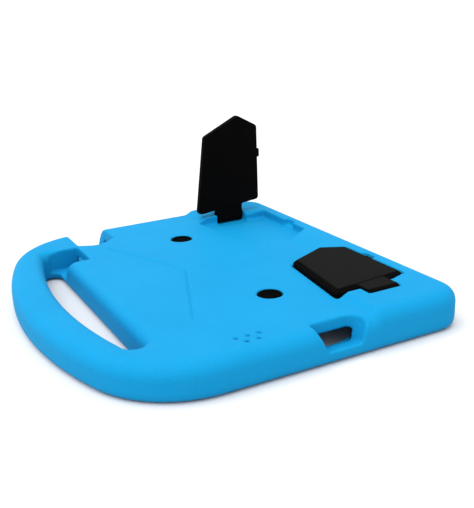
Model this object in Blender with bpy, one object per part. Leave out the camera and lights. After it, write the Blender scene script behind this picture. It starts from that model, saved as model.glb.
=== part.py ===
"""Soft moulded case for a small tablet, with a carrying handle and two folding stand legs.

Metres. The case lies on its front rim: +Z comes out of its back, +Y points to the handle and
+X is the right-hand side of the back. The right leg is raised and the left one is folded.
"""

import math

import bmesh
import bpy
from mathutils import Matrix, Vector

# Tablet that the case is moulded round
TABLET_LENGTH = 0.2000
TABLET_WIDTH = 0.1347
TABLET_THICKNESS = 0.0075
TABLET_CORNER = 0.0085
TABLET_PLAY = 0.0003

# Outline of the case, seen from the back
CASE_WIDTH = 0.2192
ARCH_RISE = 0.0620
ARCH_SIDE_RADIUS = 0.0520
BOTTOM_CORNER = 0.0150
BOTTOM_WALL = 0.0113

# Thickness and soft edges
BACK_HEIGHT = 0.0185
LAND_RISE = 0.0025
FRONT_LIP = 0.0040
FRONT_ROUND = 0.0045
BACK_ROUND = 0.0075

# Handle hole
HANDLE_BAR = 0.0210
HANDLE_SIDE = 0.0338
HANDLE_WALL = 0.0144
HOLE_HEIGHT = 0.0190
HOLE_END_RADIUS = 0.0042
HOLE_LOW_RADIUS = 0.0050
HOLE_FRONT_ROUND = 0.0040
HOLE_BACK_ROUND = 0.0060

# Window in the front lip, with a bay beside the tablet's home button
LIP_OVERLAP_SIDES = 0.0060
LIP_OVERLAP_ENDS = 0.0044
WINDOW_CORNER = 0.0096
WINDOW_ROUND = 0.0020
BAY_LENGTH = 0.0310
BAY_DEPTH = 0.0030

# Raised lands that carry the hinges, above the general level of the back
LAND_LENGTH = 0.0595
LAND_RAMP = 0.0060
LOW_FIELD_FROM_HINGE = 0.0090
LOW_FIELD_FROM_BOTTOM = 0.0300
LOW_FIELD_SLOPE = 0.0040
LOW_FIELD_RAMP = 0.0150

# Stand legs: U runs from the hinge axis to the tip, V from the bottom edge towards the handle
LEG_LENGTH = 0.0690
LEG_THICKNESS = 0.0060
LEG_ABOVE_LAND = 0.0008
LEG_ROOT_WIDTH = 0.0471
LEG_TIP_WIDTH = 0.0398
LEG_LOW_SHOULDER = 0.0610
LEG_HIGH_SHOULDER = 0.0570
LEG_PEAK = 0.0145
LEG_ROOT_LOW = 0.0093
LEG_ROOT_HIGH = 0.0045
LEG_CHAMFER_WIDTH = 0.0020
LEG_CHAMFER_HEIGHT = 0.0018
LEG_CORNER = 0.0022
TONGUE_WIDTH = 0.0194
TONGUE_OFFSET = 0.0131
TONGUE_THICKNESS = 0.0056
TONGUE_PAST_AXIS = 0.0012
TONGUE_ROOT = 0.0040
TAB_START = 0.0380
TAB_LENGTH = 0.0075
TAB_REACH = 0.0023
TAB_THICKNESS = 0.0030
TAB_TAPER = 0.0010
HINGE_FROM_SIDE = 0.0258
LEG_FROM_BOTTOM = 0.0126
PIN_RADIUS = 0.0012
PIN_SEAT = 0.0060
GAP = 0.0003
LEG_PLAY = 0.0005
SLOT_DEPTH = 0.0010
ROOT_RELIEF = 0.0012

# Round plugs in the back
PLUG_RADIUS = 0.0065
PLUG_HEIGHT = 0.0030
PLUG_SINK = 0.0003
PLUG_HALF_SPACING = 0.0555
PLUG_ABOVE_TABLET_MIDDLE = 0.0055

# Cut-outs for the tablet's port, buttons, camera, microphone and earphones
CUT_FLOOR = 0.0008
PORT_LENGTH = 0.0190
PORT_CORNER = 0.0040
PORT_FLARE = 0.0065
PORT_SLANT = 0.0070
PORT_INSET = 0.0013
PORT_FLOOR_SLOPE = 0.22
PORT_BELOW_TABLET_MIDDLE = 0.0035
BUTTON_LENGTH = 0.0215
BUTTON_INSET = 0.0012
BUTTON_FLARE = 0.0052
CAMERA_REACH = 0.0160
CAMERA_FLARE = 0.0140
VOLUME_LENGTH = 0.0170
VOLUME_FLARE = 0.0150
VOLUME_SLANT = 0.0016
VOLUME_INSET = 0.0230
SIDE_HOLE_RADIUS = 0.0026
SIDE_DISH_RADIUS = 0.0062
SIDE_DISH_DEPTH = 0.0045
SIDE_DISH_SHIFT = 0.0028
EARPHONE_FROM_EDGE = 0.0125
VENT_RADIUS = 0.0012
VENT_PITCH = 0.0061
VENT_ROW_GAP = 0.0050
VENT_INSET = 0.0068
VENTS_ABOVE_TABLET_MIDDLE = 0.0397

# Shallow moulded lines that fan out over the back
LINE_WIDTH = 0.0014
LINE_DEPTH = 0.0005
LINE_START = 0.0010
LINE_REACH = 0.0640
LINE_CLIMB = 0.0253
LINES_ABOVE_TABLET_MIDDLE = 0.0275

# How far cutters and joined shapes pass the surface they meet
MARGIN = 0.0020

# Worked out from the sizes above
CAVITY_HALF_X = TABLET_LENGTH / 2 + TABLET_PLAY
CAVITY_HALF_Y = TABLET_WIDTH / 2 + TABLET_PLAY
CAVITY_TOP = FRONT_LIP + TABLET_THICKNESS + GAP
CASE_HEIGHT = BOTTOM_WALL + 2 * CAVITY_HALF_Y + HANDLE_WALL + HOLE_HEIGHT + HANDLE_BAR
HALF_WIDTH = CASE_WIDTH / 2
HALF_HEIGHT = CASE_HEIGHT / 2
LAND_HEIGHT = BACK_HEIGHT + LAND_RISE
LAND_Y = LAND_LENGTH - HALF_HEIGHT
CAVITY_LOW_Y = BOTTOM_WALL - HALF_HEIGHT
CAVITY_HIGH_Y = CAVITY_LOW_Y + 2 * CAVITY_HALF_Y
TABLET_Y = CAVITY_LOW_Y + CAVITY_HALF_Y
HINGE_X = HALF_WIDTH - HINGE_FROM_SIDE
HINGE_Z = LAND_HEIGHT + LEG_ABOVE_LAND - LEG_THICKNESS / 2
POCKET_FLOOR = HINGE_Z - LEG_THICKNESS / 2 - GAP
LEG_LOW_Y = LEG_FROM_BOTTOM - HALF_HEIGHT
TONGUE_LOW_Y = LEG_LOW_Y + TONGUE_OFFSET
TONGUE_SWEEP = TONGUE_THICKNESS / 2 + TONGUE_PAST_AXIS
BORE_RADIUS = PIN_RADIUS + GAP
PIN_LENGTH = TONGUE_WIDTH + 2 * PIN_SEAT
PLUG_Y = TABLET_Y + PLUG_ABOVE_TABLET_MIDDLE
CUT_Z = FRONT_LIP + CUT_FLOOR
ABOVE = LAND_HEIGHT + 2 * MARGIN
OUTSIDE = HALF_WIDTH + 3 * MARGIN

MITRE_LIMIT = 0.3

BLUE = (0.030, 0.480, 0.905, 1.0)
BLACK = (0.012, 0.011, 0.011, 1.0)
STEEL = (0.560, 0.570, 0.580, 1.0)


def clear_scene():
    for old in list(bpy.data.objects):
        bpy.data.objects.remove(old, do_unlink=True)


def material(name, color, roughness, metallic=0.0):
    result = bpy.data.materials.new(name)
    result.use_nodes = True
    shader = result.node_tree.nodes["Principled BSDF"]
    shader.inputs["Base Color"].default_value = color
    shader.inputs["Roughness"].default_value = roughness
    shader.inputs["Metallic"].default_value = metallic
    result.diffuse_color = color
    return result


def arc(center, radius, start, end, steps):
    """Points on a circle from start to end, in degrees, both ends included."""
    result = []
    for step in range(steps + 1):
        angle = math.radians(start + (end - start) * step / steps)
        result.append((center[0] + radius * math.cos(angle), center[1] + radius * math.sin(angle)))
    return result


def three_centred_arch(half_span, rise, side_radius, spring_y, side_steps, crown_steps):
    """Arch from right to left, with a tight arc at each side and one wide arc for the crown."""
    crown = half_span**2 - 2 * half_span * side_radius + rise**2
    crown /= 2 * (rise - side_radius)
    side_x = half_span - side_radius
    turn = math.degrees(math.atan2(crown - rise, side_x))
    points = arc((side_x, spring_y), side_radius, 0, turn, side_steps)
    points += arc((0, spring_y + rise - crown), crown, turn, 180 - turn, crown_steps)[1:-1]
    points += arc((-side_x, spring_y), side_radius, 180 - turn, 180, side_steps)
    return points


def rounded_rectangle(low, high, radius, steps=6):
    points = arc((high[0] - radius, low[1] + radius), radius, 270, 360, steps)
    points += arc((high[0] - radius, high[1] - radius), radius, 0, 90, steps)
    points += arc((low[0] + radius, high[1] - radius), radius, 90, 180, steps)
    points += arc((low[0] + radius, low[1] + radius), radius, 180, 270, steps)
    return points


def offset(points, distance):
    """The same outline, each side moved outwards by distance."""
    result = []
    count = len(points)
    for index in range(count):
        here = Vector(points[index])
        before = (here - Vector(points[index - 1])).normalized()
        after = (Vector(points[(index + 1) % count]) - here).normalized()
        normal = Vector((before.y + after.y, -before.x - after.x)).normalized()
        stretch = normal.x * after.y - normal.y * after.x
        result.append(tuple(here + normal * distance / max(stretch, MITRE_LIMIT)))
    return result


def at_height(points, z):
    return [(x, y, z) for x, y in points]


def new_object(name, mesh, look):
    result = bpy.data.objects.new(name, mesh)
    bpy.context.collection.objects.link(result)
    if look is not None:
        mesh.materials.append(look)
    return result


def finish_mesh(form, name, smooth_angle=None):
    bmesh.ops.recalc_face_normals(form, faces=form.faces)
    mesh = bpy.data.meshes.new(name)
    form.to_mesh(mesh)
    form.free()
    if smooth_angle is not None:
        mesh.shade_smooth()
        mesh.set_sharp_from_angle(angle=math.radians(smooth_angle))
    return mesh


def skin(form, rings):
    """Triangles between rings of equal length. Returns the rings' vertices."""
    made = [[form.verts.new(point) for point in ring] for ring in rings]
    count = len(made[0])
    for lower, upper in zip(made, made[1:]):
        for index in range(count):
            after = (index + 1) % count
            form.faces.new((lower[index], lower[after], upper[after]))
            form.faces.new((lower[index], upper[after], upper[index]))
    return made


def loft(name, rings, look=None, smooth_angle=None):
    """Closed solid through rings of equal length, with flat ends."""
    form = bmesh.new()
    made = skin(form, rings)
    form.faces.new(made[0])
    form.faces.new(made[-1])
    return new_object(name, finish_mesh(form, name, smooth_angle), look)


def round_bar(name, start, end, radius, steps=24, look=None, end_radius=None):
    """Cylinder or cone between two points."""
    start, end = Vector(start), Vector(end)
    turn = (end - start).to_track_quat("Z", "Y")
    rings = []
    for center, size in ((start, radius), (end, end_radius or radius)):
        circle = arc((0, 0), size, 0, 360, steps)[:-1]
        rings.append([center + turn @ Vector((x, y, 0)) for x, y in circle])
    return loft(name, rings, look, 35)


def box(name, low, high):
    outline = [(low[0], low[1]), (high[0], low[1]), (high[0], high[1]), (low[0], high[1])]
    return loft(name, [at_height(outline, low[2]), at_height(outline, high[2])])


def combine(target, tool, operation="DIFFERENCE"):
    """Cut the tool out of the target, or join it on. The tool stays as a hidden guide."""
    change = target.modifiers.new(operation.title() + " " + tool.name, "BOOLEAN")
    change.operation = operation
    change.solver = "EXACT"
    change.object = tool
    tool.hide_render = True
    tool.display_type = "WIRE"


def smoothed(share):
    return share * share * (3 - 2 * share)


def back_level(y):
    """Height of the back at a place along the case: it ramps up to the lands below LAND_Y."""
    share = min(max((LAND_Y - y) / LAND_RAMP, 0.0), 1.0)
    return BACK_HEIGHT + LAND_RISE * smoothed(share)


def land_stations(steps=5):
    """Places along the straight sides where the ramp to the lands is drawn, lowest first."""
    return [LAND_Y - LAND_RAMP * (1 - step / steps) for step in range(steps + 1)]


def case_outline():
    """The outline, counter-clockwise from the right-hand land, and where its left stations start."""
    stations = land_stations()
    spring = HALF_HEIGHT - ARCH_RISE
    points = [(HALF_WIDTH, y) for y in stations]
    points += three_centred_arch(HALF_WIDTH, ARCH_RISE, ARCH_SIDE_RADIUS, spring, 12, 22)
    left_start = len(points)
    points += [(-HALF_WIDTH, y) for y in reversed(stations)]
    corner_x = HALF_WIDTH - BOTTOM_CORNER
    corner_y = BOTTOM_CORNER - HALF_HEIGHT
    points += arc((-corner_x, corner_y), BOTTOM_CORNER, 180, 270, 8)
    points += arc((corner_x, corner_y), BOTTOM_CORNER, 270, 360, 8)
    return points, left_start


def quarter(steps):
    return [math.radians(90 * step / steps) for step in range(steps + 1)]


def slab(look):
    """The case before it is hollowed: soft edges all round, and a back that steps up to the lands."""
    outline, left_start = case_outline()
    levels = [back_level(y) for _, y in outline]
    rings = []
    for angle in quarter(4):
        inset = FRONT_ROUND * (1 - math.sin(angle))
        rings.append(at_height(offset(outline, -inset), FRONT_ROUND * (1 - math.cos(angle))))
    for angle in quarter(6):
        ring = offset(outline, -BACK_ROUND * (1 - math.cos(angle)))
        drop = BACK_ROUND * (1 - math.sin(angle))
        rings.append([(x, y, level - drop) for (x, y), level in zip(ring, levels)])
    form = bmesh.new()
    made = skin(form, rings)
    form.faces.new(made[0])
    top = made[-1]
    count = len(land_stations())
    left_end = left_start + count - 1
    form.faces.new(top[count - 1:left_start + 1])
    for step in range(count - 1):
        far = left_end - step
        form.faces.new((top[step], top[step + 1], top[far - 1], top[far]))
    form.faces.new(top[left_end:] + [top[0]])
    return new_object("case_shell", finish_mesh(form, "case_shell", 32), look)


def flared_cutter(name, outline, low_z, high_z, low_round, high_round):
    """Cutter whose walls roll outwards, so that it leaves rounded edges at one or both faces."""
    rings = []
    if low_round > 0:
        rings.append(at_height(offset(outline, low_round), low_z - MARGIN))
        for angle in quarter(4):
            out = low_round * (1 - math.sin(angle))
            rings.append(at_height(offset(outline, out), low_z + low_round * (1 - math.cos(angle))))
    else:
        rings.append(at_height(outline, low_z))
    if high_round > 0:
        for angle in quarter(5):
            out = high_round * (1 - math.cos(angle))
            height = high_z - high_round * (1 - math.sin(angle))
            rings.append(at_height(offset(outline, out), height))
        rings.append(at_height(offset(outline, high_round), high_z + 3 * MARGIN))
    else:
        rings.append(at_height(outline, high_z))
    return loft(name, rings)


def hole_outline():
    half = HALF_WIDTH - HANDLE_SIDE
    floor = CAVITY_HIGH_Y + HANDLE_WALL
    spring = floor + HOLE_LOW_RADIUS
    rise = HOLE_HEIGHT - HOLE_LOW_RADIUS
    points = three_centred_arch(half, rise, HOLE_END_RADIUS, spring, 8, 20)
    corner = half - HOLE_LOW_RADIUS
    points += arc((-corner, spring), HOLE_LOW_RADIUS, 180, 270, 5)[1:]
    points += arc((corner, spring), HOLE_LOW_RADIUS, 270, 360, 5)[:-1]
    return points


def window_outline():
    """Window in the lip, with a shallow bay on its left side."""
    low = (LIP_OVERLAP_SIDES - CAVITY_HALF_X, CAVITY_LOW_Y + LIP_OVERLAP_ENDS)
    high = (-low[0], CAVITY_HIGH_Y - LIP_OVERLAP_ENDS)
    points = rounded_rectangle(low, high, WINDOW_CORNER)
    radius = ((BAY_LENGTH / 2) ** 2 + BAY_DEPTH**2) / (2 * BAY_DEPTH)
    turn = math.degrees(math.asin(BAY_LENGTH / 2 / radius))
    bay = arc((low[0] - BAY_DEPTH + radius, TABLET_Y), radius, 180 - turn, 180 + turn, 8)
    last_corner = len(points) // 4 * 3
    return points[:last_corner] + bay + points[last_corner:]


def cut_handle_and_cavity(shell):
    combine(shell, flared_cutter(
        "cut_handle_hole", hole_outline(), 0, BACK_HEIGHT, HOLE_FRONT_ROUND, HOLE_BACK_ROUND))
    corner = TABLET_CORNER + TABLET_PLAY
    low = (-CAVITY_HALF_X, CAVITY_LOW_Y)
    cavity = rounded_rectangle(low, (CAVITY_HALF_X, CAVITY_HIGH_Y), corner)
    combine(shell, loft("cut_tablet_cavity", [
        at_height(cavity, FRONT_LIP), at_height(cavity, CAVITY_TOP)]))
    middle = (FRONT_LIP + CAVITY_TOP) / 2
    combine(shell, flared_cutter("cut_front_window", window_outline(), 0, middle, WINDOW_ROUND, 0))


def cut_low_field(shell):
    """Takes the middle of the back down from the level of the lands, with sloping edges."""
    rings = []
    for z in (BACK_HEIGHT, ABOVE):
        share = (z - BACK_HEIGHT) / LAND_RISE
        half = HINGE_X - LOW_FIELD_FROM_HINGE + LOW_FIELD_SLOPE * share
        end = LOW_FIELD_FROM_BOTTOM - HALF_HEIGHT - LOW_FIELD_RAMP * share
        outline = [(-half, end), (half, end), (half, LAND_Y), (-half, LAND_Y)]
        rings.append(at_height(outline, z))
    combine(shell, loft("cut_low_field", rings))


def port_plan(flare, slant, low_y, high_y, inner_x):
    """Plan of the port's notch: straight at the handle end, rounded at the other."""
    radius = PORT_CORNER + flare
    points = [(-OUTSIDE, low_y - flare), (inner_x - radius, low_y - flare)]
    points += arc((inner_x - radius, low_y - flare + radius), radius, 270, 360, 6)[1:]
    points += [(inner_x, high_y + slant), (-OUTSIDE, high_y + slant)]
    return points


def cut_port(shell):
    """Notch in the left side wall, open to the back, with a scooped end and a sill that rises outwards."""
    middle = TABLET_Y - PORT_BELOW_TABLET_MIDDLE
    low_y, high_y = middle - PORT_LENGTH / 2, middle + PORT_LENGTH / 2
    inner = PORT_INSET - CAVITY_HALF_X
    lower = port_plan(0, 0, low_y, high_y, inner)
    upper = port_plan(PORT_FLARE, PORT_SLANT, low_y, high_y, inner)
    sill = [(x, y, CUT_Z + PORT_FLOOR_SLOPE * (inner - x)) for x, y in lower]
    combine(shell, loft("cut_port", [sill, at_height(upper, ABOVE)]))


def cut_buttons_and_camera(shell):
    """One wide notch at the upper right corner for the top button and the camera."""
    high_y = CAVITY_HIGH_Y - BUTTON_INSET
    low_y = high_y - BUTTON_LENGTH
    middle_y = (low_y + high_y) / 2
    reach = CAVITY_HALF_X - CAMERA_REACH
    corner = CAVITY_HALF_X - CAMERA_REACH / 2
    lower = [
        (OUTSIDE, low_y), (OUTSIDE, high_y), (reach, high_y), (reach, middle_y), (corner, low_y)]
    upper = [
        (OUTSIDE, low_y - BUTTON_FLARE), (OUTSIDE, high_y), (reach - CAMERA_FLARE / 2, high_y),
        (reach - CAMERA_FLARE, middle_y - BUTTON_FLARE / 2),
        (corner - CAMERA_FLARE, low_y - BUTTON_FLARE)]
    combine(shell, loft("cut_button_and_camera", [
        at_height(lower, CUT_Z), at_height(upper, ABOVE)]))


def cut_volume_keys(shell):
    """Scoop from the handle hole down to the tablet's edge, at the right-hand end of the hole."""
    high_x = CAVITY_HALF_X - VOLUME_INSET
    low_x = high_x - VOLUME_LENGTH
    near = CAVITY_HIGH_Y - 2 * GAP
    far = CAVITY_HIGH_Y + HANDLE_WALL + HOLE_LOW_RADIUS
    lower = [(low_x, near), (high_x, near), (high_x, far), (low_x, far)]
    near += VOLUME_SLANT
    upper = [
        (low_x - VOLUME_FLARE, near), (high_x, near), (high_x, far),
        (low_x - VOLUME_FLARE, far)]
    combine(shell, loft("cut_volume_keys", [at_height(lower, CUT_Z), at_height(upper, ABOVE)]))


def cut_side_holes(shell):
    """Microphone and earphone holes in the right side wall, each in a dish that opens to the back."""
    middle_z = FRONT_LIP + TABLET_THICKNESS / 2
    for name, y in (("microphone", TABLET_Y), ("earphone", CAVITY_LOW_Y + EARPHONE_FROM_EDGE)):
        inner = (CAVITY_HALF_X - 2 * GAP, y, middle_z)
        combine(shell, round_bar(
            "cut_" + name + "_hole", inner, (OUTSIDE, y, middle_z), SIDE_HOLE_RADIUS, 16))
        bottom = Vector((HALF_WIDTH - SIDE_DISH_DEPTH, y, middle_z))
        mouth = Vector((HALF_WIDTH + MARGIN / 2, y, middle_z + SIDE_DISH_SHIFT))
        combine(shell, round_bar(
            "cut_" + name + "_dish", bottom, mouth, SIDE_HOLE_RADIUS, 20, None, SIDE_DISH_RADIUS))


def cut_vents(shell):
    """Sound holes through the back near its left edge, in two staggered rows."""
    column = VENT_INSET - CAVITY_HALF_X
    middle_y = TABLET_Y + VENTS_ABOVE_TABLET_MIDDLE
    places = [(column, middle_y + VENT_PITCH * step) for step in (-1, 0, 1)]
    places += [(column - VENT_ROW_GAP, middle_y + VENT_PITCH * step) for step in (-0.5, 0.5)]
    for index, (x, y) in enumerate(places):
        low = (x, y, CAVITY_TOP - MARGIN / 2)
        combine(shell, round_bar(f"cut_vent_{index}", low, (x, y, ABOVE), VENT_RADIUS, 12))


def cut_lines(shell):
    """Two shallow lines that run down from the shoulders and meet in the middle of the back."""
    meet_y = TABLET_Y + LINES_ABOVE_TABLET_MIDDLE
    for side in (-1, 1):
        start = Vector((side * LINE_START, meet_y, BACK_HEIGHT))
        end = Vector((side * LINE_REACH, meet_y + LINE_CLIMB, BACK_HEIGHT))
        across = (end - start).cross(Vector((0, 0, 1))).normalized() * LINE_WIDTH / 2
        down = Vector((0, 0, LINE_DEPTH))
        rings = [[point + across, point + down, point - across, point - down]
                 for point in (start, end)]
        combine(shell, loft(f"cut_line_{side + 2}", rings))


def leg_plan():
    """Outline of the leg's plate: U from the hinge axis, V from its bottom edge."""
    high_tip = (LEG_HIGH_SHOULDER, LEG_TIP_WIDTH)
    return [
        (LEG_ROOT_LOW, 0), (LEG_LOW_SHOULDER, 0), (LEG_LENGTH, LEG_PEAK), high_tip,
        (LEG_ROOT_HIGH, LEG_ROOT_WIDTH)]


def softened(points, radius, steps=3):
    """The outline with each corner rounded."""
    result = []
    count = len(points)
    for index in range(count):
        here = Vector(points[index])
        back = (Vector(points[index - 1]) - here).normalized()
        ahead = (Vector(points[(index + 1) % count]) - here).normalized()
        half = back.angle(ahead) / 2
        start = here + back * radius / math.tan(half)
        end = here + ahead * radius / math.tan(half)
        center = here + (back + ahead).normalized() * radius / math.sin(half)
        first, last = start - center, end - center
        turn = first.angle_signed(last)
        for step in range(steps + 1):
            spin = Matrix.Rotation(-turn * step / steps, 2)
            result.append(tuple(center + spin @ first))
    return result


def placed(points, side):
    """From the leg's U and V to X from the hinge axis and Y, for the leg on one side."""
    moved = [(-side * u, v) for u, v in points]
    return moved[::-1] if side > 0 else moved


def make_leg(name, side, look, rest_angle):
    """Stand leg on its hinge axis: chamfered plate, hinge tongue, finger tab and a bore for the pin."""
    half = LEG_THICKNESS / 2
    outline = placed(softened(leg_plan(), LEG_CORNER), side)
    rings = [
        at_height(offset(outline, -GAP), -half), at_height(outline, -half + GAP),
        at_height(outline, half - LEG_CHAMFER_HEIGHT),
        at_height(offset(outline, -LEG_CHAMFER_WIDTH), half)]
    leg = loft(name, rings, look, 25)
    combine(leg, tongue(name, side), "UNION")
    combine(leg, finger_tab(name, side), "UNION")
    low = (0, TONGUE_OFFSET - MARGIN, 0)
    high = (0, TONGUE_OFFSET + TONGUE_WIDTH + MARGIN, 0)
    bore = round_bar(name + "_bore", low, high, BORE_RADIUS)
    combine(leg, bore)
    leg.location = (side * HINGE_X, LEG_LOW_Y, HINGE_Z)
    leg.rotation_euler = (0, math.radians(rest_angle), 0)
    for part in bpy.data.objects:
        if part.name.startswith(name + "_"):
            part.parent = leg
    return leg


def tongue(name, side):
    """Bar that joins the plate to the pin, rounded where it turns in its slot."""
    half = TONGUE_THICKNESS / 2
    root = LEG_ROOT_LOW + TONGUE_ROOT
    profile = [(root, -half), (root, half)]
    profile += arc((-TONGUE_PAST_AXIS, 0), half, 90, 270, 10)
    rings = []
    for v in (TONGUE_OFFSET, TONGUE_OFFSET + TONGUE_WIDTH):
        rings.append([(-side * u, v, w) for u, w in profile])
    return loft(name + "_tongue", rings)


def finger_tab(name, side):
    """Small nib on the bottom edge that a finger lifts."""
    low = TAB_START
    high = TAB_START + TAB_LENGTH
    plan = [
        (low, MARGIN), (low + TAB_TAPER, -TAB_REACH), (high - TAB_TAPER, -TAB_REACH),
        (high, MARGIN)]
    plan = placed(plan, side)
    half = TAB_THICKNESS / 2
    return loft(name + "_tab", [at_height(plan, -half), at_height(plan, half - GAP)])


def cut_leg_seat(shell, name, side):
    """Pocket that the folded leg lies in, its slot, the tab's notch and the bore for the pin."""
    pocket = placed(offset(leg_plan(), LEG_PLAY), side)
    seat = loft(name + "_pocket", [at_height(pocket, 0), at_height(pocket, ABOVE - POCKET_FLOOR)])
    seat.location = (side * HINGE_X, LEG_LOW_Y, POCKET_FLOOR)
    combine(shell, seat)

    def local_box(label, low, high):
        near = -side * low[0]
        far = -side * high[0]
        return box(name + label, (min(near, far), low[1], low[2]), (max(near, far), high[1], high[2]))

    floor = POCKET_FLOOR - HINGE_Z
    top = ABOVE - HINGE_Z
    low_v, high_v = TONGUE_OFFSET - LEG_PLAY, TONGUE_OFFSET + TONGUE_WIDTH + LEG_PLAY
    reach = TONGUE_SWEEP + LEG_PLAY
    channel = local_box(
        "_channel", (0, low_v, floor - SLOT_DEPTH), (LEG_ROOT_LOW + MARGIN, high_v, top))
    relief = local_box(
        "_relief", (LEG_ROOT_HIGH - ROOT_RELIEF, high_v - MARGIN / 2, floor),
        (LEG_ROOT_LOW, LEG_ROOT_WIDTH, top))
    notch = local_box(
        "_notch", (TAB_START - 2 * LEG_PLAY, -TAB_REACH - 2 * LEG_PLAY, -TAB_THICKNESS / 2 - GAP),
        (TAB_START + TAB_LENGTH + 2 * LEG_PLAY, MARGIN, top))
    socket = round_bar(name + "_socket", (0, low_v, 0), (0, high_v, 0), reach, 32)
    mouth = local_box("_mouth", (-reach, low_v, 0), (MARGIN / 2, high_v, top))
    first = TONGUE_OFFSET - PIN_SEAT - GAP
    last = TONGUE_OFFSET + TONGUE_WIDTH + PIN_SEAT + GAP
    bore = round_bar(name + "_pin_bore", (0, first, 0), (0, last, 0), BORE_RADIUS)
    for tool in (channel, relief, notch, socket, mouth, bore):
        tool.location = (side * HINGE_X, LEG_LOW_Y, HINGE_Z)
        combine(shell, tool)


def make_pin(name, side, look):
    low_y = TONGUE_LOW_Y - PIN_SEAT
    pin = round_bar(name, (0, 0, 0), (0, PIN_LENGTH, 0), PIN_RADIUS, 24, look)
    pin.location = (side * HINGE_X, low_y, HINGE_Z)


def make_plug(name, side, look, shell):
    """Round disc, set just below the surface of the back, and the blind hole that it fills."""
    top = BACK_HEIGHT - PLUG_SINK
    low = top - PLUG_HEIGHT
    circle = arc((0, 0), PLUG_RADIUS, 0, 360, 40)[:-1]
    rings = [
        at_height(circle, 0), at_height(circle, PLUG_HEIGHT - GAP),
        at_height(offset(circle, -2 * GAP), PLUG_HEIGHT)]
    plug = loft(name, rings, look, 30)
    plug.location = (side * PLUG_HALF_SPACING, PLUG_Y, low)
    hole = offset(circle, GAP)
    seat = loft(name + "_seat", [at_height(hole, 0), at_height(hole, PLUG_HEIGHT + 3 * MARGIN)])
    seat.location = (side * PLUG_HALF_SPACING, PLUG_Y, low - GAP)
    combine(shell, seat)


def main():
    clear_scene()
    foam = material("blue_foam", BLUE, 0.62)
    plastic = material("black_plastic", BLACK, 0.55)
    steel = material("pin_steel", STEEL, 0.3, 1.0)
    shell = slab(foam)
    cut_low_field(shell)
    cut_handle_and_cavity(shell)
    cut_port(shell)
    cut_buttons_and_camera(shell)
    cut_volume_keys(shell)
    cut_side_holes(shell)
    cut_vents(shell)
    cut_lines(shell)
    for word, side, rest_angle in (("left", -1, 0), ("right", 1, 90)):
        make_leg(word + "_leg", side, plastic, rest_angle)
        cut_leg_seat(shell, "cut_" + word, side)
        make_pin(word + "_hinge_pin", side, steel)
        make_plug(word + "_plug", side, plastic, shell)


main()
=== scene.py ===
"""Looks of the tablet case: soft blue foam with black legs and plugs, in plain studio light.

Lengths are in metres and angles in degrees. The case lies face down, its handle towards +Y.
"""

import math

import bmesh
import bpy
from mathutils import Matrix, Vector


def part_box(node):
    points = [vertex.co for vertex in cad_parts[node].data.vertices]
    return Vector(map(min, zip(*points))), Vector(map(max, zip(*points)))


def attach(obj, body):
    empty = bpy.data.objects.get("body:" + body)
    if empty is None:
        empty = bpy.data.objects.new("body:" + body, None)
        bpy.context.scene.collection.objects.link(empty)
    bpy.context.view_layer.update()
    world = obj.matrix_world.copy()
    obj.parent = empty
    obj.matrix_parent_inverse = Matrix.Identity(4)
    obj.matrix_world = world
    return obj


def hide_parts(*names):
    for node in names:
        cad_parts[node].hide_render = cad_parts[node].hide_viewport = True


# Softened pieces: size of the voxels, passes of smoothing, most triangles that are kept, share
# of the way to its neighbours' middle that a pass moves a vertex, and reach within which
# vertices are joined
SHELL_VOXEL = 0.00072
SHELL_SMOOTHING = 7
SHELL_TRIANGLES = 185000
LEG_VOXEL = 0.00038
LEG_SMOOTHING = 5
LEG_TRIANGLES = 40000
SMOOTHING_SHARE = 0.5
WELD = 0.000002

# Shallow lines of the back: where they meet and end, in X and Y, the level that they are pressed
# in from, and how much a vertex's normal has to point up for it to be pressed in
LINE_MEET = Vector((0.0, 0.0060))
LINE_END = Vector((0.0640, 0.0313))
LINE_LEVEL = 0.0185
LINE_DEPTH = 0.0006
LINE_HALF_WIDTH = 0.0012
LINE_LEAST_UP = 0.9

# Way that each leg's outer face looks at rest, the face that gets painted light to look paler:
# the left leg is folded, the right one raised
LEG_PAINTED_LIT_FACE = {"left": (0, 0, 1), "right": (1, 0, 0)}

# Plugs: rounded edge, a shallow dish whose rim and floor are shares of the radius, steps of a
# turn, and the angle from which an edge is shown sharp
PLUG_EDGE = 0.0007
PLUG_EDGE_STEPS = 5
PLUG_DISH = 0.0004
PLUG_DISH_RIM = 0.72
PLUG_DISH_FLOOR = 0.648
PLUG_STEPS = 64
PLUG_SHARP = 50.0

# Camera, at the viewing angle of the photograph's lower left picture
IMAGE_HEIGHT = 508
CAMERA_PLACE = Vector((-0.3662, 0.1653, 0.1646))
CAMERA_AIM = Vector((0.0144, -0.0229, 0.0120))
CAMERA_ROLL = 2.53
FOCAL_PIXELS = 748.1
SHIFT_ACROSS = 0.0324
SHIFT_UP = 0.0194
SENSOR = 36.0

# Colours
FOAM_BLUE = (0.005, 0.268, 0.542, 1.0)
# Darker foam blue: the deeper tone of the cloudiness, and the painted shade in the hollows
# between the pebbles
FOAM_BLUE_CLOUDED_AND_SHADED = (0.003, 0.238, 0.496, 1.0)
PLASTIC_BLACK = (0.0024, 0.0022, 0.0021, 1.0)
# Paler leg grey: real rub marks, and painted light on the leg's outer face
PLASTIC_RUBBED_AND_LIT_GREY = (0.0084, 0.0079, 0.0078, 1.0)
RUBBER_BLACK = (0.0011, 0.0012, 0.0014, 1.0)
RUBBER_BLACK_PALE = (0.0024, 0.0026, 0.0029, 1.0)
PIN_GREY = (0.42, 0.43, 0.44, 1.0)
PIN_GREY_DARK = (0.30, 0.30, 0.31, 1.0)
FLOOR_WHITE = (0.68, 0.68, 0.68, 1.0)
FLOOR_PALE = (0.66, 0.66, 0.67, 1.0)
SKY_WHITE = (1.0, 1.0, 1.0, 1.0)

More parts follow.
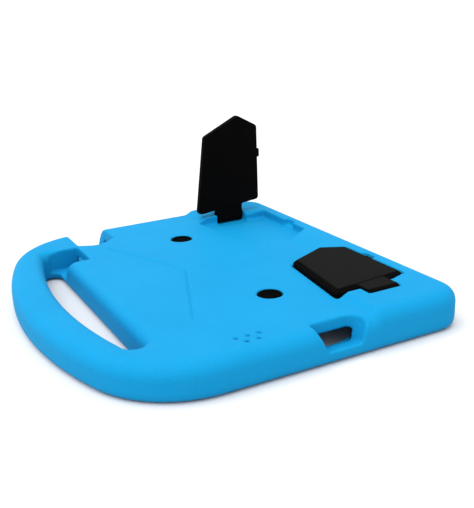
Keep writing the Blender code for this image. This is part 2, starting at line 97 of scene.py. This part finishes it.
# Cosines between which a face counts more and more as looking one way, for the painted light on
# the legs' outer faces
FACING_LEAST = 0.992
FACING_FULL = 0.9990
# Share of the leg's grey that is painted light on its outer face, the rest being rub marks
GREY_BY_PAINTED_LIGHT = 0.85
# Share of the foam's colour that comes from its pebbles, as painted shade that darkens the
# hollows between them, the rest being cloudiness
BLUE_BY_PEBBLE_SHADE = 0.55

# Floor: half its width, and its level, just under the case
FLOOR_REACH = 6.0
FLOOR_LEVEL = -0.0001

# Broad light from above, leaning towards the handle, and an even sky
SUN_FROM = Vector((-0.08, 0.35, 1.0))
SUN_STRENGTH = 2.6
SUN_SPREAD = 65.0
SKY_STRENGTH = 1.00

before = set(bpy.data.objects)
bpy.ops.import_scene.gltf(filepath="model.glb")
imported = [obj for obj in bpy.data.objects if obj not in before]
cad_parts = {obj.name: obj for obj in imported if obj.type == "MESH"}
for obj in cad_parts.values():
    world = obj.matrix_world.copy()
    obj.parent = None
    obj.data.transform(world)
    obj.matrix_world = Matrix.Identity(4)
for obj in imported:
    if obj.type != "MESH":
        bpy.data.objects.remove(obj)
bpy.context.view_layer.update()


class Graph:
    """Short way to build a node material on object coordinates."""

    def __init__(self, name, specular):
        self.material = bpy.data.materials.new(name)
        self.material.use_nodes = True
        self.tree = self.material.node_tree
        self.shader = self.tree.nodes["Principled BSDF"]
        self.shader.inputs["Specular IOR Level"].default_value = specular
        self.place = self.node("ShaderNodeTexCoord").outputs["Object"]

    def node(self, kind, **settings):
        """A new node, with these of its own settings."""
        made = self.tree.nodes.new(kind)
        for key, value in settings.items():
            setattr(made, key, value)
        return made

    def link(self, start, end):
        self.tree.links.new(start, end)

    def noise(self, size, detail=2.0, roughness=0.5):
        """Noise from 0 to 1, whose lumps are about this size."""
        made = self.node("ShaderNodeTexNoise")
        made.inputs["Scale"].default_value = 1 / size
        made.inputs["Detail"].default_value = detail
        made.inputs["Roughness"].default_value = roughness
        self.link(self.place, made.inputs["Vector"])
        return made.outputs["Fac"]

    def cells(self, size):
        """Distance from the nearest of scattered points, as a share of this size."""
        made = self.node("ShaderNodeTexVoronoi")
        made.inputs["Scale"].default_value = 1 / size
        self.link(self.place, made.inputs["Vector"])
        return made.outputs["Distance"]

    def between(self, value, low, high):
        """The value, stretched so that low to high becomes 0 to 1."""
        made = self.node("ShaderNodeMapRange")
        made.inputs["From Min"].default_value = low
        made.inputs["From Max"].default_value = high
        self.link(value, made.inputs["Value"])
        return made.outputs["Result"]

    def blend(self, first, second, share):
        """A mix of two values, with this share of the second."""
        made = self.node("ShaderNodeMix", data_type="FLOAT")
        made.inputs["Factor"].default_value = share
        self.link(first, made.inputs["A"])
        self.link(second, made.inputs["B"])
        return made.outputs["Result"]

    def facing(self, direction):
        """1 on the faces that look this way at rest, 0 on the others."""
        turn = self.node("ShaderNodeVectorMath", operation="DOT_PRODUCT")
        turn.inputs[1].default_value = direction
        self.link(self.node("ShaderNodeTexCoord").outputs["Normal"], turn.inputs[0])
        return self.between(turn.outputs["Value"], FACING_LEAST, FACING_FULL)

    def colour(self, value, first, second):
        """Base colour that goes from the first to the second as the value goes from 0 to 1."""
        ramp = self.node("ShaderNodeMix", data_type="RGBA")
        ramp.inputs["A"].default_value = first
        ramp.inputs["B"].default_value = second
        self.link(value, ramp.inputs["Factor"])
        self.link(ramp.outputs["Result"], self.shader.inputs["Base Color"])

    def roughness(self, value, low, high):
        """Roughness that goes from low to high as the value goes from 0 to 1."""
        made = self.node("ShaderNodeMapRange")
        made.inputs["To Min"].default_value = low
        made.inputs["To Max"].default_value = high
        self.link(value, made.inputs["Value"])
        self.link(made.outputs["Result"], self.shader.inputs["Roughness"])

    def bump(self, value, distance, strength, under=None):
        """Bump by the value, laid over the bump under it."""
        made = self.node("ShaderNodeBump")
        made.inputs["Distance"].default_value = distance
        made.inputs["Strength"].default_value = strength
        self.link(value, made.inputs["Height"])
        if under is not None:
            self.link(under, made.inputs["Normal"])
        self.link(made.outputs["Normal"], self.shader.inputs["Normal"])
        return made.outputs["Normal"]


def foam_material():
    """Soft moulded skin: faint cloudiness, fine pebbles with grain on them and painted shade in
    the hollows between them, and a dull sheen.
    """
    look = Graph("case_foam", specular=0.07)
    cloud = look.between(look.noise(size=0.030, detail=3.0), low=0.30, high=0.70)
    pebbles = look.between(look.cells(size=0.0009), low=0.75, high=0.05)
    grain = look.noise(size=0.0005, roughness=0.6)
    # Colour: random cloudiness, plus painted shade that makes the hollows between the pebbles
    # darker than their tops
    look.colour(look.blend(cloud, pebbles, BLUE_BY_PEBBLE_SHADE), FOAM_BLUE_CLOUDED_AND_SHADED, FOAM_BLUE)
    look.roughness(grain, low=0.60, high=0.74)
    swell = look.bump(look.noise(size=0.012), distance=0.0003, strength=0.25)
    skin = look.bump(pebbles, distance=0.00016, strength=0.50, under=swell)
    look.bump(grain, distance=0.00008, strength=0.45, under=skin)
    return look.material


def plastic_material(side):
    """Black plastic with a fine grain and faint rub marks, and painted light that makes the
    leg's outer face paler than its edges.
    """
    look = Graph(side + "_stand_plastic", specular=0.008)
    rub = look.noise(size=0.018, detail=4.0, roughness=0.65)
    marks = look.between(rub, low=0.45, high=0.75)
    # Painted light: the outer face is painted paler and the edges and other faces stay darker,
    # mixed with real rub marks
    pale = look.blend(marks, look.facing(LEG_PAINTED_LIT_FACE[side]), GREY_BY_PAINTED_LIGHT)
    look.colour(pale, PLASTIC_BLACK, PLASTIC_RUBBED_AND_LIT_GREY)
    grain = look.noise(size=0.0005, roughness=0.7)
    look.roughness(rub, low=0.50, high=0.64)
    swell = look.bump(look.noise(size=0.020, detail=1.0), distance=0.0003, strength=0.20)
    look.bump(grain, distance=0.00014, strength=0.70, under=swell)
    return look.material


def plug_material():
    """Dull black rubber with a faint bloom, darker than the legs' outer faces."""
    look = Graph("plug_rubber", specular=0.006)
    bloom = look.noise(size=0.004, detail=3.0, roughness=0.6)
    look.colour(look.between(bloom, low=0.40, high=0.75), RUBBER_BLACK, RUBBER_BLACK_PALE)
    look.roughness(bloom, low=0.74, high=0.86)
    look.bump(look.noise(size=0.0006, roughness=0.6), distance=0.00010, strength=0.50)
    return look.material


def steel_material():
    """Drawn steel with a fine, slightly uneven surface."""
    look = Graph("pin_steel", specular=0.5)
    look.shader.inputs["Metallic"].default_value = 1.0
    spots = look.noise(size=0.0004, detail=1.0)
    look.colour(spots, PIN_GREY, PIN_GREY_DARK)
    look.roughness(spots, low=0.24, high=0.40)
    look.bump(spots, distance=0.00002, strength=0.30)
    return look.material


def floor_material():
    """Matt white paper with broad, very faint clouds."""
    look = Graph("studio_floor", specular=0.2)
    look.shader.inputs["Roughness"].default_value = 0.85
    look.colour(look.noise(size=0.200), FLOOR_WHITE, FLOOR_PALE)
    return look.material


def welded_copy(node, name):
    """A new object with the CAD node's shape, its vertices joined."""
    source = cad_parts[node]
    form = bmesh.new()
    form.from_mesh(source.data)
    form.transform(source.matrix_world)
    bmesh.ops.remove_doubles(form, verts=form.verts, dist=WELD)
    mesh = bpy.data.meshes.new(name)
    form.to_mesh(mesh)
    form.free()
    mesh.materials.clear()
    piece = bpy.data.objects.new(name, mesh)
    bpy.context.collection.objects.link(piece)
    return piece


def softened(piece, voxel, passes):
    """Rebuilds the piece as an even skin with rounded edges."""
    skin = piece.modifiers.new("skin", "REMESH")
    skin.mode = "VOXEL"
    skin.voxel_size = voxel
    smooth = piece.modifiers.new("round", "SMOOTH")
    smooth.factor = SMOOTHING_SHARE
    smooth.iterations = passes
    settle(piece)


def thinned(piece, triangles):
    """Brings the piece within a number of triangles and shades it smooth."""
    count = sum(len(face.vertices) - 2 for face in piece.data.polygons)
    if count > triangles:
        thin = piece.modifiers.new("thin", "DECIMATE")
        thin.ratio = triangles / count
        settle(piece)
    piece.data.shade_smooth()


def settle(piece):
    """Replaces the piece's mesh by the result of its modifiers."""
    shown = piece.evaluated_get(bpy.context.evaluated_depsgraph_get())
    mesh = bpy.data.meshes.new_from_object(shown)
    piece.modifiers.clear()
    old = piece.data
    piece.data = mesh
    bpy.data.meshes.remove(old)


def press_lines(piece):
    """Presses the two shallow lines that meet in the middle into the back."""
    run = (LINE_END - LINE_MEET).normalized()
    for vertex in piece.data.vertices:
        if vertex.normal.z < LINE_LEAST_UP or abs(vertex.co.z - LINE_LEVEL) > LINE_DEPTH:
            continue
        from_meet = Vector((abs(vertex.co.x), vertex.co.y)) - LINE_MEET
        along = min(max(from_meet.dot(run), 0), (LINE_END - LINE_MEET).length)
        away = (from_meet - run * along).length / LINE_HALF_WIDTH
        if away < 1:
            vertex.co.z -= LINE_DEPTH * (1 - away * away)


def dress(piece, look, node, body):
    """Gives the piece its material and body, and hides the CAD node whose place it takes."""
    piece.data.materials.clear()
    piece.data.materials.append(look)
    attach(piece, body)
    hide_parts(node)


def make_shell(look):
    """The blue case, with the lines of its back pressed in before it is thinned."""
    piece = welded_copy("case_shell", "case_skin")
    voxel = SHELL_VOXEL
    softened(piece, voxel, SHELL_SMOOTHING)
    press_lines(piece)
    thinned(piece, SHELL_TRIANGLES)
    dress(piece, look, "case_shell", "case")


def make_leg(side, look):
    """A stand leg with softened edges."""
    piece = welded_copy(side + "_leg", side + "_stand")
    softened(piece, LEG_VOXEL, LEG_SMOOTHING)
    thinned(piece, LEG_TRIANGLES)
    dress(piece, look, side + "_leg", side + "_leg")


def plug_profile(radius, low, high):
    """Half section of a plug from its middle outwards: dish, rounded edge, straight side."""
    dish = high - PLUG_DISH
    points = [(0.0, dish), (radius * PLUG_DISH_FLOOR, dish), (radius * PLUG_DISH_RIM, high)]
    for step in range(PLUG_EDGE_STEPS + 1):
        angle = math.radians(90 - 90 / PLUG_EDGE_STEPS * step)
        reach = radius - PLUG_EDGE + PLUG_EDGE * math.cos(angle)
        points.append((reach, high - PLUG_EDGE + PLUG_EDGE * math.sin(angle)))
    return points + [(radius, low), (0.0, low)]


def make_plug(side, look):
    """A turned disc, as wide and high as the CAD plug."""
    low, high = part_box(side + "_plug")
    middle = (Vector(low) + Vector(high)) / 2
    radius = (high[0] - low[0]) / 2
    form = bmesh.new()
    line = [form.verts.new((x, 0, z)) for x, z in plug_profile(radius, low[2], high[2])]
    edges = [form.edges.new(pair) for pair in zip(line, line[1:])]
    bmesh.ops.spin(
        form, geom=line + edges, cent=(0, 0, 0), axis=(0, 0, 1), angle=math.tau,
        steps=PLUG_STEPS, use_merge=True)
    bmesh.ops.remove_doubles(form, verts=form.verts, dist=WELD)
    bmesh.ops.recalc_face_normals(form, faces=form.faces)
    bmesh.ops.translate(form, verts=form.verts, vec=(middle.x, middle.y, 0))
    mesh = bpy.data.meshes.new(side + "_disc")
    form.to_mesh(mesh)
    form.free()
    mesh.shade_smooth()
    mesh.set_sharp_from_angle(angle=math.radians(PLUG_SHARP))
    piece = bpy.data.objects.new(side + "_disc", mesh)
    bpy.context.collection.objects.link(piece)
    dress(piece, look, side + "_plug", "case")


def repaint(node, look):
    """Shows a CAD node as it is, in this material."""
    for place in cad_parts[node].material_slots:
        place.material = look


def make_floor():
    """A wide floor, just under the case."""
    form = bmesh.new()
    bmesh.ops.create_grid(form, x_segments=2, y_segments=2, size=FLOOR_REACH)
    mesh = bpy.data.meshes.new("floor")
    form.to_mesh(mesh)
    form.free()
    mesh.materials.append(floor_material())
    floor = bpy.data.objects.new("floor", mesh)
    floor.location.z = FLOOR_LEVEL
    bpy.context.collection.objects.link(floor)


def make_lights():
    """A broad sun and an even white sky."""
    data = bpy.data.lights.new("soft_sun", "SUN")
    data.energy = SUN_STRENGTH
    data.angle = math.radians(SUN_SPREAD)
    light = bpy.data.objects.new("soft_sun", data)
    light.rotation_mode = "QUATERNION"
    light.rotation_quaternion = SUN_FROM.to_track_quat("Z", "Y")
    bpy.context.collection.objects.link(light)
    world = bpy.data.worlds.new("studio")
    world.use_nodes = True
    back = world.node_tree.nodes["Background"]
    back.inputs["Color"].default_value = SKY_WHITE
    back.inputs["Strength"].default_value = SKY_STRENGTH
    bpy.context.scene.world = world


def make_camera():
    """The camera at CAMERA_PLACE, turned about its line of sight by CAMERA_ROLL."""
    data = bpy.data.cameras.new("camera")
    data.sensor_width = SENSOR
    data.lens = FOCAL_PIXELS * SENSOR / IMAGE_HEIGHT
    data.shift_x = SHIFT_ACROSS
    data.shift_y = SHIFT_UP
    camera = bpy.data.objects.new("camera", data)
    look = (CAMERA_AIM - CAMERA_PLACE).normalized()
    right = look.cross(Vector((0, 0, 1))).normalized()
    down = look.cross(right)
    roll = math.radians(CAMERA_ROLL)
    across = right * math.cos(roll) + down * math.sin(roll)
    up = right * math.sin(roll) - down * math.cos(roll)
    turn = Matrix((across, up, -look)).transposed()
    camera.matrix_world = Matrix.Translation(CAMERA_PLACE) @ turn.to_4x4()
    bpy.context.collection.objects.link(camera)
    bpy.context.scene.camera = camera


foam = foam_material()
rubber = plug_material()
steel = steel_material()
make_shell(foam)
for side in ("left", "right"):
    make_leg(side, plastic_material(side))
    make_plug(side, rubber)
    repaint(side + "_hinge_pin", steel)
make_floor()
make_lights()
make_camera()
bpy.context.scene.view_settings.view_transform = "Standard"
